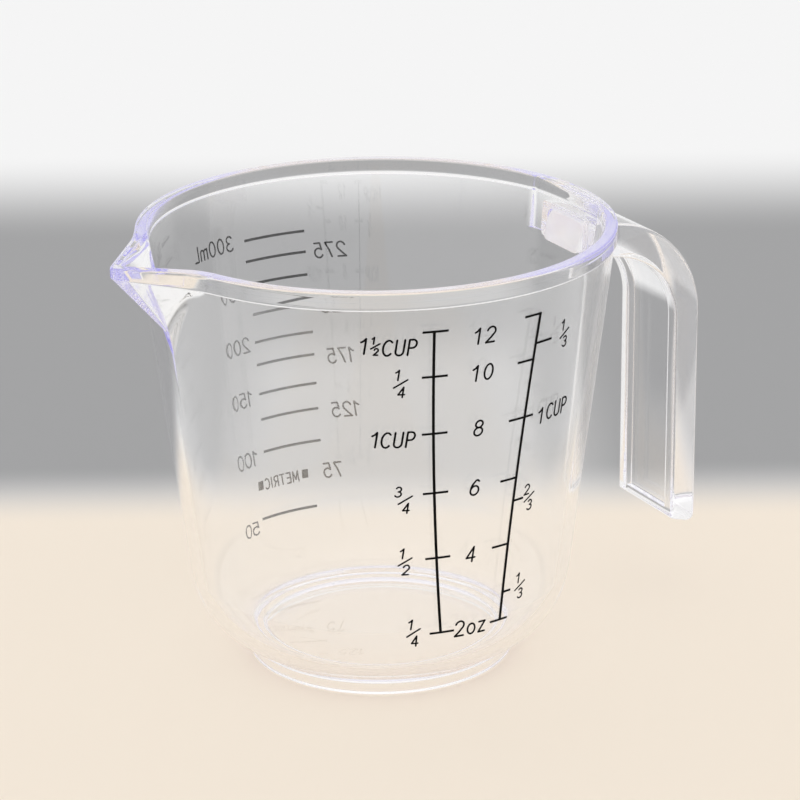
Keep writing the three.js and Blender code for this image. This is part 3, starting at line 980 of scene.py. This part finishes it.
printLabels("metric_labels", metricFacing, metricInk, [
    (large("300mL"), 17.3, 71.6),
    (large("275"), -10.5, 67.2),
    (large("250"), 13.6, 62.0),
    (large("225"), -10.9, 56.4),
    (large("200"), 13.4, 51.3),
    (large("175"), -11.1, 46.0),
    (large("150"), 13.4, 40.5),
    (large("125"), -11.3, 34.9),
    (large("100"), 13.4, 28.3),
    (large("75"), -7.6, 22.6),
    (large("50"), 13.3, 13.7),
    (words("METRIC", lettering["unitCap"], lettering["smallStroke"]), 4.5, 22.4),
    (square(), 10.0, 22.4),
    (square(), -1.3, 22.6),
])

# Studio: a plain pale floor, warm under the cup and grey behind it, with a painted pool of light in the grey
# just behind the cup, under a soft sky; lengths in metres
studio = {
    "pale": (0.92, 0.92, 0.92, 1.0),
    "warm": (0.90, 0.80, 0.68, 1.0),
    "grey": (0.34, 0.34, 0.345, 1.0),
    # the colour of the painted pool of light on the grey floor
    "paintedLight": (0.54, 0.535, 0.53, 1.0),
    "warmSide": (0.088, 0.12),  # to either side the warm floor fades out between these
    "greyStart": (0.06, 0.095),  # behind the cup the grey comes in between these
    "greyEnd": (0.27, 0.36),  # and gives way to the pale floor
    "paintedLightSide": (0.03, 0.054),  # a painted pool of light on the grey, close behind the cup
    "paintedLightEnd": (0.15, 0.205),
    "back": (0.455, 0.891, 0.0),
    "right": (0.891, -0.455, 0.0),
    "reach": 6.0,
    "under": 0.0002,  # just clear of the foot, so that the two faces are never one
    "floorRough": 0.75,
    "sky": 1.17,
    "horizon": 0.75,  # share of the sky's light that is left at its foot
    "skyPower": 3.0,
}


def alongFloor(place, direction):
    return place.make("ShaderNodeVectorMath", {"operation": "DOT_PRODUCT"}, {0: place, 1: direction}, 1)


def buildFloor():
    mesh = bpy.data.meshes.new("floor")
    reach, level = studio["reach"], -studio["under"]
    corners = [(-reach, -reach, level), (reach, -reach, level), (reach, reach, level), (-reach, reach, level)]
    mesh.from_pydata(corners, [], [(0, 1, 2, 3)])
    floor = bpy.data.objects.new("floor", mesh)
    bpy.context.scene.collection.objects.link(floor)
    material, surface, place = newMaterial("pale_floor")
    far = alongFloor(place, studio["back"])
    aside = place.maths("ABSOLUTE", alongFloor(place, studio["right"]), 0.0)
    behind = fade(far, studio["greyStart"])
    onWarm = (1 - fade(aside, studio["warmSide"])) * (1 - behind)
    onGrey = behind * (1 - fade(far, studio["greyEnd"]))
    # Painted pool of light: the grey floor is made paler close behind the cup
    paintedLightShare = (1 - fade(aside, studio["paintedLightSide"])) * (1 - fade(far, studio["paintedLightEnd"]))
    grey = mixed(paintedLightShare, studio["grey"], studio["paintedLight"])
    shade = mixed(onGrey, mixed(onWarm, studio["pale"], studio["warm"]), grey)
    shade.feed(surface, "Base Color")
    surface.inputs["Roughness"].default_value = studio["floorRough"]
    mesh.materials.append(material)


def buildLight():
    # The sky's level climbs from its foot to the top as a power of the height
    world = bpy.data.worlds.new("studio")
    bpy.context.scene.world = world
    world.use_nodes = True
    tree = world.node_tree
    sky = tree.nodes["Background"]
    ahead = Wire(tree, tree.nodes.new("ShaderNodeTexCoord").outputs["Generated"])
    up = ahead.make("ShaderNodeSeparateXYZ", {}, {0: ahead}, 2)
    glow = ahead.maths("POWER", ahead.maths("MAXIMUM", up, 0.0), studio["skyPower"])
    level = glow * (1 - studio["horizon"]) + studio["horizon"]
    level.feed(sky, "Color")
    sky.inputs["Strength"].default_value = studio["sky"]


# Camera where the photograph was taken from, in degrees and millimetres
view = {
    "azimuth": -27.05,
    "elevation": 20.35,
    "distance": 611.1,
    "swing": 0.41,
    "tip": 19.73,
    "roll": -0.53,
    "focalPixels": 3200.0,
    "picturePixels": 800.0,
    "sensor": 36.0,
    "nearest": 10.0,
}


def buildCamera():
    camera = bpy.data.cameras.new("camera")
    camera.sensor_width = view["sensor"]
    camera.lens = view["focalPixels"] / view["picturePixels"] * view["sensor"]
    camera.clip_start = view["nearest"] * mm
    holder = bpy.data.objects.new("camera", camera)
    bpy.context.scene.collection.objects.link(holder)
    bpy.context.scene.camera = holder
    up, out = math.radians(view["elevation"]), view["distance"] * mm
    eye = Vector((0.0, -out * math.cos(up), out * math.sin(up)))
    swing, tip, roll = (math.radians(view[name]) for name in ("swing", "tip", "roll"))
    ahead = Vector((math.sin(swing) * math.cos(tip), math.cos(swing) * math.cos(tip), -math.sin(tip)))
    level = Vector((math.cos(swing), -math.sin(swing), 0.0))
    upright = level.cross(ahead)
    right = math.cos(roll) * level + math.sin(roll) * upright
    top = math.cos(roll) * upright - math.sin(roll) * level
    facing = Matrix((right, top, -ahead)).transposed().to_4x4()
    about = Matrix.Translation((axisX * mm, 0.0, cup["height"] * mm / 2))
    turned = Matrix.Rotation(math.radians(view["azimuth"]), 4, "Z")
    holder.matrix_world = about @ turned @ Matrix.Translation(eye) @ facing


buildFloor()
buildLight()
buildCamera()
print("studio set")

scene = bpy.context.scene
bounces = 1024  # light that is caught in the rim takes many turns to get out
scene.view_settings.view_transform = "Standard"
scene.cycles.max_bounces = bounces
scene.cycles.transmission_bounces = bounces
scene.cycles.glossy_bounces = bounces
scene.cycles.blur_glossy = 0.0
